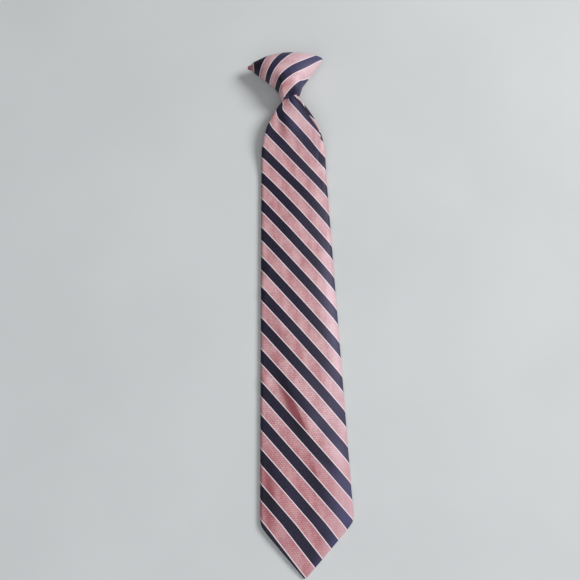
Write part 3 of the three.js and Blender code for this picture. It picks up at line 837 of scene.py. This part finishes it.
def knot_section(a):
    """A ring of points round the knot at a share of half its width, in the knot's own frame: hem,
    front and back. Also how far the mouth is open there."""
    x = a * (KNOT_WIDTH / 2)
    bottom = KNOT_HEIGHT * soft_column(KNOT_SECTIONS, "across", a, "bottom")
    top = KNOT_HEIGHT * soft_column(KNOT_SECTIONS, "across", a, "top")
    deep = KNOT_DEPTH * soft_column(KNOT_SECTIONS, "across", a, "depth")
    edge = min(KNOT_EDGE, deep / 2)
    past_left = smooth(a, MOUTH_LEFT - MOUTH_LEFT_OUTER, MOUTH_LEFT + MOUTH_INNER)
    past_right = smooth(a, MOUTH_RIGHT - MOUTH_INNER, MOUTH_RIGHT + MOUTH_RIGHT_OUTER)
    mouth = float(past_left * (1 - past_right))

    # the front's arch, kept clear of the neck where the mouth is open
    share = (1 - np.cos(np.pi * np.linspace(0, 1, FRONT_POINTS))) / 2
    arch = (1 - np.abs(2 * share - 1) ** FRONT_POWER) ** (1 / FRONT_ROUND)
    y = mixed(bottom, top, share)
    z = KNOT_BACK + edge + (deep - edge) * arch
    floor = neck_height(x) + MOUTH_CLEARANCE + HEM_RISE
    near = mouth * (1 - smooth(y - bottom, MOUTH_REACH_FROM, MOUTH_REACH_TO))
    raised = np.logaddexp(z * MOUTH_BLEND, floor * MOUTH_BLEND) / MOUTH_BLEND
    z = np.where(near > 0, mixed(z, raised, near), z)
    front = np.stack([np.full(len(y), x), y, z], 1)

    # the back, with its two rounded corners
    rounding = min(KNOT_BACK_ROUND, (top - bottom) * CORNER_SHARE)

    def corner(start, way, shares):
        turns = [t * math.pi / 2 for t in shares]
        return [
            (start + way * rounding * (1 - math.cos(t)), KNOT_BACK + edge * (1 - math.sin(t)))
            for t in turns
        ]

    flat = np.linspace(top - rounding, bottom + rounding, BACK_POINTS)[1:-1]
    back = corner(top, -1, CORNER_POINTS)
    back += [(v, KNOT_BACK) for v in flat]
    back += corner(bottom, 1, CORNER_POINTS[::-1])
    back = np.array([(x, v, w) for v, w in back])
    back[-1, 2] = mixed(back[-1, 2], KNOT_BACK + MOUTH_FLOOR, mouth)
    back[-2, 2] = mixed(back[-2, 2], KNOT_BACK, mouth)

    # the hem's fold, which turns in under the front where the mouth is open
    fold_y, fold_z, shut = (np.array([row[key] for row in HEM_FOLD]) for key in ("y", "z", "shut"))
    hem_y = mixed(mixed(back[-1, 1], front[0, 1], shut), bottom + fold_y, mouth)
    hem_z = mixed(mixed(back[-1, 2], front[0, 2], shut), front[0, 2] + fold_z, mouth)
    hem = np.stack([np.full(HEM_POINTS, x), hem_y, hem_z], 1)
    return np.concatenate([hem, front, back]), mouth


def make_knot():
    """The knot, with its largest girth, the length of its crest and the area of its cloth's middle
    surface, in millimetres."""
    even = np.linspace(-1, 1, KNOT_ROWS)
    across = mixed(np.sin(even * math.pi / 2), even, KNOT_ROW_EVENNESS)
    sections, mouths = zip(*[knot_section(a) for a in across])
    points = np.array(sections)
    is_open = [mouth > 0.5 for mouth in mouths]
    closed = [not (a and b) for a, b in zip(is_open, is_open[1:])]
    cloth = wrap_cloth(points)
    around, along = np.roll(points, -1, axis=1) - points, np.diff(points, axis=0)
    girth = float(np.linalg.norm(around, axis=2).sum(axis=1).max())
    crest = float(np.linalg.norm(along[:, HEM_POINTS + FRONT_POINTS // 2], axis=1).sum())
    area = float(np.linalg.norm(np.cross(around[:-1], along), axis=2).sum())
    # painted light over the knot, lighter to its right and darker to its left, less painted shade
    # where its cloth is drawn in
    painted_light = KNOT_PAINTED_LIGHT + KNOT_PAINTED_LIGHT_LEAN * across[:, None] + np.zeros(points.shape[:2])
    for row in KNOT_PAINTED_SHADE:
        off_x = (points[:, :, 0] - row["x"]) / row["wide"]
        off_y = (points[:, :, 1] - row["y"]) / row["long"]
        painted_light -= row["painted shade"] * np.exp(-(off_x**2) - off_y**2)
    piece = cloth_piece("knot_cloth", to_frame(points), cloth, painted_light, closed)
    close_tips(piece, points.shape[1], points.shape[0])
    outwards(piece)
    thicken(piece, KNOT_CLOTH, -1)
    return piece, girth, crest, area


def close_tips(piece, count, rows):
    """The two wing tips are closed with a fan, as a sewn corner."""
    mesh = bmesh.new()
    mesh.from_mesh(piece.data)
    mesh.verts.ensure_lookup_table()
    layer = mesh.loops.layers.uv.active
    rings = [[mesh.verts[first + j] for j in range(count)] for first in (0, (rows - 1) * count)]
    for ring in rings:
        places = {loop.vert: loop[layer].uv.copy() for v in ring for loop in v.link_loops}
        face = mesh.faces.new(ring)
        for loop in face.loops:
            loop[layer].uv = places[loop.vert]
        bmesh.ops.poke(mesh, faces=[face])
    mesh.to_mesh(piece.data)
    mesh.free()


# ---- the hook


def make_hook():
    """The hook, from one strip of plastic."""
    bend = (2 * HOOK_SHEET + HOOK_GAP) / 2
    bend_y = HOOK_TOP - bend
    low = HOOK_TOP - HOOK_LENGTH
    length = bend_y - low
    bpy.ops.object.select_all(action="DESELECT")
    bpy.ops.mesh.primitive_plane_add(
        size=1, location=(0, (low + length / 2) * MM, HOOK_SHEET / 2 * MM)
    )
    hook = bpy.context.object
    hook.name = "hook_strip"
    hook.scale = (HOOK_WIDTH * MM, length * MM, 1)
    bpy.ops.object.transform_apply(location=True, rotation=True, scale=True)

    def pick(mode, test):
        bpy.ops.object.mode_set(mode="EDIT")
        bpy.ops.mesh.select_all(action="DESELECT")
        bpy.ops.mesh.select_mode(type=mode)
        bpy.ops.object.mode_set(mode="OBJECT")
        vertices = hook.data.vertices
        if mode == "VERT":
            for v in vertices:
                v.select = test(v.co / MM)
        else:
            for e in hook.data.edges:
                e.select = all(test(vertices[i].co / MM) for i in e.vertices)
        bpy.ops.object.mode_set(mode="EDIT")

    # the tongue's free corners are rounded
    pick("VERT", lambda p: p.y < low + PICK_WITHIN)
    bpy.ops.mesh.bevel(offset=HOOK_CORNER * MM, segments=HOOK_CORNER_STEPS, affect="VERTICES")
    # its top edge is spun round into the bend, and the plate goes back down from there
    pick("EDGE", lambda p: p.y > bend_y - PICK_WITHIN)
    bpy.ops.mesh.spin(
        steps=HOOK_BEND_STEPS,
        angle=math.pi,
        center=(0, bend_y * MM, bend * MM),
        axis=(-1, 0, 0),
    )
    plate_z = 2 * bend - HOOK_SHEET
    pick("EDGE", lambda p: p.z > plate_z and abs(p.y - bend_y) < PLATE_WITHIN)
    bpy.ops.mesh.extrude_region_move(
        TRANSFORM_OT_translate={"value": (0, (HOOK_TOP - HOOK_PLATE - bend_y) * MM, 0)}
    )
    bpy.ops.mesh.select_all(action="SELECT")
    bpy.ops.mesh.remove_doubles(threshold=SAME_PLACE)
    bpy.ops.mesh.normals_make_consistent(inside=False)
    bpy.ops.object.mode_set(mode="OBJECT")
    wall = hook.modifiers.new("sheet", "SOLIDIFY")
    wall.thickness = HOOK_SHEET * MM
    wall.offset = 0
    wall.use_even_offset = True
    bpy.ops.object.modifier_apply(modifier=wall.name)
    soft = hook.modifiers.new("soft edges", "BEVEL")
    soft.width = HOOK_EDGE * MM
    soft.segments = HOOK_EDGE_STEPS
    soft.limit_method = "ANGLE"
    soft.angle_limit = HOOK_CREASE
    bpy.ops.object.modifier_apply(modifier=soft.name)
    hook.rotation_euler = (0, 0, KNOT_TURN)
    hook.location = ((KNOT_X + BODY_X) * MM, (KNOT_Y + TIP_Y) * MM, 0)
    only(hook)
    bpy.ops.object.transform_apply(location=True, rotation=True, scale=True)
    bpy.ops.object.shade_smooth_by_angle(angle=HOOK_SMOOTH)
    return hook


# ---- materials


def add(tree, kind, inputs=None, **settings):
    """A node with its inputs set, or linked where an input is another node's output."""
    made = tree.nodes.new(kind)
    for name, value in settings.items():
        setattr(made, name, value)
    for socket, value in (inputs or {}).items():
        if isinstance(value, bpy.types.NodeSocket):
            tree.links.new(value, made.inputs[socket])
        else:
            made.inputs[socket].default_value = value
    return made


def calc(tree, operation, *values):
    return add(tree, "ShaderNodeMath", dict(enumerate(values)), operation=operation).outputs[0]


def plus(tree, a, b):
    return calc(tree, "ADD", a, b)


def less(tree, a, b):
    return calc(tree, "SUBTRACT", a, b)


def times(tree, a, b):
    return calc(tree, "MULTIPLY", a, b)


def noise(tree, place, name):
    inputs = {"Vector": place, "Scale": NOISES[name]["scale"], "Detail": NOISES[name]["detail"]}
    return add(tree, "ShaderNodeTexNoise", inputs).outputs["Fac"]


def ramp(tree, value, low, high, to_low=0.0, to_high=1.0):
    """A value carried smoothly from one range to another, and held past its ends."""
    made = add(
        tree,
        "ShaderNodeMapRange",
        {"Value": value, "From Min": low, "From Max": high, "To Min": to_low, "To Max": to_high},
        interpolation_type="SMOOTHSTEP",
    )
    return made.outputs[0]


def blend(tree, share, a, b):
    return add(tree, "ShaderNodeMix", {0: share, 2: a, 3: b}, data_type="FLOAT").outputs[0]


def blend_colour(tree, share, a, b):
    return add(tree, "ShaderNodeMix", {0: share, 6: a, 7: b}, data_type="RGBA").outputs[2]


def new_group(name, sizes, outputs):
    """A shader node group that takes the cloth's places and some sizes."""
    group = bpy.data.node_groups.new(name, "ShaderNodeTree")

    def socket(label, way, kind="NodeSocketFloat"):
        return group.interface.new_socket(name=label, in_out=way, socket_type=kind)

    socket("Cloth", "INPUT", "NodeSocketVector")
    for label, value in sizes.items():
        socket(label, "INPUT").default_value = value
    for label in outputs:
        socket(label, "OUTPUT")
    given = group.nodes.new("NodeGroupInput").outputs
    return group, given, group.nodes.new("NodeGroupOutput").inputs


def stripes_group():
    """Navy stripes with a pale line at each side, and specks of blue beside the lower line."""
    group, given, out = new_group(
        "tie stripes",
        {
            "Pitch": STRIPE_PITCH,
            "Navy Width": NAVY_WIDTH,
            "Line Width": LINE_WIDTH,
            "Wobble": STRIPE_WOBBLE,
        },
        ["Navy", "Line", "Specks"],
    )
    cloth, pitch = given["Cloth"], given["Pitch"]
    normal = (math.cos(STRIPE_TURN), math.sin(STRIPE_TURN), 0)
    across = add(group, "ShaderNodeVectorMath", {0: cloth, 1: normal}, operation="DOT_PRODUCT")
    sway = less(group, noise(group, cloth, "stripe wobble"), 0.5)
    wobble = times(group, sway, given["Wobble"])
    place = plus(group, less(group, across.outputs["Value"], STRIPE_START), wobble)
    turns = plus(group, calc(group, "DIVIDE", place, pitch), 0.5)
    signed = times(group, less(group, calc(group, "FRACT", turns), 0.5), pitch)
    half_navy = times(group, given["Navy Width"], 0.5)
    away = less(group, calc(group, "ABSOLUTE", signed), half_navy)
    past = less(group, away, given["Line Width"])
    navy = ramp(group, away, NAVY_BLUR, -NAVY_BLUR)
    not_navy = less(group, 1.0, navy)
    line = times(group, ramp(group, past, LINE_BLUR, -LINE_BLUR), not_navy)
    lower = ramp(group, signed, NAVY_BLUR, -NAVY_BLUR)
    fade = times(group, ramp(group, past, SPECK_REACH, NAVY_BLUR), lower)
    cells = add(group, "ShaderNodeTexVoronoi", {"Vector": cloth, **SPECK_SPACING})
    speck = ramp(group, cells.outputs["Distance"], SPECK_EDGE, SPECK_CORE)
    specks = times(group, times(group, fade, speck), not_navy)
    for name, value in (("Navy", navy), ("Line", line), ("Specks", specks)):
        group.links.new(value, out[name])
    return group


def weave_group():
    """Rows of short raised threads, each row set off by half a thread."""
    sizes = {"Row": RIB_ROW, "Thread": RIB_THREAD}
    group, given, out = new_group("ribbed weave", sizes, ["Height", "Shade"])

    def from_middle(value):
        """A place within its row or thread, from -1 to 1."""
        return less(group, times(group, calc(group, "FRACT", value), 2.0), 1.0)

    split = add(group, "ShaderNodeSeparateXYZ", {0: given["Cloth"]})
    rows = calc(group, "DIVIDE", split.outputs["Y"], given["Row"])
    row = calc(group, "FLOOR", rows)
    set_off = times(group, calc(group, "FLOORED_MODULO", row, 2.0), 0.5)
    threads = plus(group, calc(group, "DIVIDE", split.outputs["X"], given["Thread"]), set_off)
    in_row = from_middle(rows)
    in_thread = calc(group, "ABSOLUTE", from_middle(threads))
    high_row = less(group, 1.0, times(group, in_row, in_row))
    high_thread = less(group, 1.0, calc(group, "POWER", in_thread, THREAD_SQUARENESS))
    height = times(group, high_row, high_thread)
    cell = add(group, "ShaderNodeCombineXYZ", {0: calc(group, "FLOOR", threads), 1: row})
    chance = add(
        group, "ShaderNodeTexWhiteNoise", {"Vector": cell.outputs[0]}, noise_dimensions="2D"
    )
    varied = times(group, chance.outputs["Value"], CHANCE_SHARE)
    group.links.new(height, out["Height"])
    group.links.new(plus(group, times(group, height, HEIGHT_SHARE), varied), out["Shade"])
    return group


def tint(name):
    """A named colour, made linear."""
    screen = [v / 255 for v in COLOURS[name]]
    linear = [v / 12.92 if v <= 0.04045 else ((v + 0.055) / 1.055) ** 2.4 for v in screen]
    return (*linear, 1.0)


def new_material(name):
    material = bpy.data.materials.new(name)
    material.use_nodes = True
    material.node_tree.nodes.clear()
    return material, material.node_tree


def surface(tree, inputs):
    """The shader and the material's output. Plain values are set on the shader's own sockets."""
    shader = add(tree, "ShaderNodeBsdfPrincipled", inputs)
    add(tree, "ShaderNodeOutputMaterial", {"Surface": shader.outputs[0]})


def overlaid(tree, colour, rows, masks):
    """A colour with the rows of a table laid over it."""
    for row in rows:
        mask = masks[row["mask"]]
        if "from" in row:
            share = ramp(tree, mask, row["from"], row["to"], 0.0, row["share"])
        else:
            share = times(tree, mask, row["share"])
        colour = blend_colour(tree, share, colour, tint(row["colour"]))
    return colour


def cloth_material(name, stripes, weave, wear, crispest):
    """Striped satin. Its threads show more towards the tip, and painted highlights and painted
    shade lighten or darken its colour as the painted light attribute says."""
    material, tree = new_material(name)
    cloth = add(tree, "ShaderNodeUVMap", uv_map="Cloth").outputs["UV"]
    painted_light = add(tree, "ShaderNodeAttribute", attribute_name="painted_light").outputs["Fac"]
    along = add(tree, "ShaderNodeSeparateXYZ", {0: cloth}).outputs["Y"]
    pattern = add(tree, "ShaderNodeGroup", {"Cloth": cloth}, node_tree=stripes).outputs
    ribs = add(tree, "ShaderNodeGroup", {"Cloth": cloth}, node_tree=weave).outputs
    fine_size = {"Cloth": cloth, "Row": FINE_ROW, "Thread": FINE_THREAD}
    fine = add(tree, "ShaderNodeGroup", fine_size, node_tree=weave).outputs
    stretch = add(tree, "ShaderNodeMapping", {"Vector": cloth, "Scale": CLOUD_STRETCH})
    slubs = ramp(tree, noise(tree, cloth, "slubs"), 0.36, 0.64)
    masks = {
        "along": along,
        "specks": pattern["Specks"],
        "wear": noise(tree, cloth, wear),
        "slubs": slubs,
        "clouds": noise(tree, stretch.outputs[0], "clouds"),
        # painted highlight and painted shade, taken from the painted light attribute
        "raised": ramp(tree, painted_light, 0.0, FULL_PAINTED_HIGHLIGHT),
        "painted shade": ramp(tree, painted_light, 0.0, FULL_PAINTED_SHADE),
    }

    rib_shade = times(tree, ribs["Shade"], RIB_SHARE)
    threads = plus(tree, rib_shade, times(tree, fine["Shade"], 1 - RIB_SHARE))
    crisp = ramp(tree, along, CRISP_FROM, CRISP_FULL, LEAST_CRISP, crispest)
    shade = blend(tree, crisp, PLAIN_SHADE, threads)
    pink = blend_colour(tree, shade, tint("pink between threads"), tint("pink thread"))
    pink = overlaid(tree, pink, PINK_OVER, masks)
    flecks = plus(tree, times(tree, fine["Shade"], 0.5), times(tree, slubs, 0.5))
    navy = blend_colour(tree, flecks, tint("navy between threads"), tint("navy thread"))
    navy = overlaid(tree, navy, NAVY_OVER, masks)
    colour = blend_colour(tree, pattern["Line"], pink, tint("pale line"))
    colour = blend_colour(tree, pattern["Navy"], colour, navy)

    grain = times(tree, fine["Height"], NAVY_GRAIN)
    height = blend(tree, pattern["Navy"], ribs["Height"], grain)
    height = plus(tree, height, times(tree, pattern["Line"], LINE_RELIEF))
    relief = {"Strength": 0.5, "Distance": WEAVE_RELIEF, "Height": height}
    rough = ramp(tree, pattern["Navy"], 0.0, 1.0, PINK_ROUGHNESS, NAVY_ROUGHNESS)
    normal = add(tree, "ShaderNodeBump", relief).outputs[0]
    surface(tree, {"Base Color": colour, "Roughness": rough, "Normal": normal, **CLOTH_GLOSS})
    return material


def plastic_material():
    """Dark moulded plastic with a fine grain."""
    material, tree = new_material("hook plastic")
    place = add(tree, "ShaderNodeTexCoord").outputs["Object"]
    grain = noise(tree, place, "plastic grain")
    cloud = noise(tree, place, "plastic cloud")
    share = ramp(tree, cloud, 0.35, 0.7)
    colour = blend_colour(tree, share, tint("dark plastic"), tint("light plastic"))
    rough = ramp(tree, cloud, 0.3, 0.8, 0.38, 0.5)
    relief = {"Strength": 0.3, "Distance": PLASTIC_RELIEF, "Height": grain}
    normal = add(tree, "ShaderNodeBump", relief).outputs[0]
    surface(tree, {"Base Color": colour, "Roughness": rough, "Normal": normal})
    return material


def floor_material():
    """A dull pale table."""
    material, tree = new_material("pale table")
    place = add(tree, "ShaderNodeTexCoord").outputs["Object"]
    share = ramp(tree, noise(tree, place, "table cloud"), 0.3, 0.7)
    colour = blend_colour(tree, share, tint("table low"), tint("table high"))
    surface(tree, {"Base Color": colour, "Roughness": 0.8, "Specular IOR Level": 0.12})
    return material


# ---- the tie

stripes, weave = stripes_group(), weave_group()
blade_finish = cloth_material("blade striped satin", stripes, weave, "blade wear", 1.0)
knot_finish = cloth_material("knot striped satin", stripes, weave, "knot wear", LEAST_CRISP)

blade, blade_cut, blade_long, blade_area = make_blade()
blade.data.materials.append(blade_finish)
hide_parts("blade")
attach(blade, "root")

knot, knot_cut, knot_long, knot_area = make_knot()
knot.data.materials.append(knot_finish)
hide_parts("knot")
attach(knot, "root")

hook = make_hook()
hook.data.materials.append(plastic_material())
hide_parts("collar_hook")
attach(hook, "root")

# ---- the stage

bpy.ops.object.select_all(action="DESELECT")
bpy.ops.mesh.primitive_plane_add(size=TABLE_SIZE, location=(0, 0, TABLE_HEIGHT))
floor = bpy.context.object
floor.name = "table"
floor.data.materials.append(floor_material())


def soft_lamp(row):
    """A round soft lamp, turned to the tie's middle."""
    data = bpy.data.lights.new(row["name"], "AREA")
    data.shape = "DISK"
    data.size = row["size"]
    data.energy = row["power"]
    data.color = row["colour"]
    lamp = bpy.data.objects.new(row["name"], data)
    bpy.context.scene.collection.objects.link(lamp)
    lamp.location = row["place"]
    lamp.rotation_mode = "QUATERNION"
    lamp.rotation_quaternion = (-Vector(row["place"])).to_track_quat("-Z", "Y")


for row in LAMPS:
    soft_lamp(row)

world = bpy.data.worlds.new("studio")
world.use_nodes = True
background = world.node_tree.nodes["Background"]
background.inputs["Color"].default_value = WORLD_COLOUR
background.inputs["Strength"].default_value = WORLD_STRENGTH
bpy.context.scene.world = world
bpy.context.scene.view_settings.view_transform = "Standard"

# The camera looks down at the tie, from where the photograph was taken.
lens = bpy.data.cameras.new("camera")
lens.sensor_fit = "HORIZONTAL"
lens.sensor_width = SENSOR_WIDTH
lens.lens = SENSOR_WIDTH * FOCAL_PIXELS / FRAME_PIXELS
lens.clip_start, lens.clip_end = CLIP_NEAR, CLIP_FAR
camera = bpy.data.objects.new("camera", lens)
bpy.context.scene.collection.objects.link(camera)
ahead = Vector(CAMERA_AHEAD).normalized()
right = Vector(CAMERA_RIGHT)
right = (right - ahead * right.dot(ahead)).normalized()
up = right.cross(ahead)
turn = Matrix((right, up, -ahead)).transposed().to_4x4()
camera.matrix_world = Matrix.Translation(CAMERA_PLACE) @ turn
bpy.context.scene.camera = camera
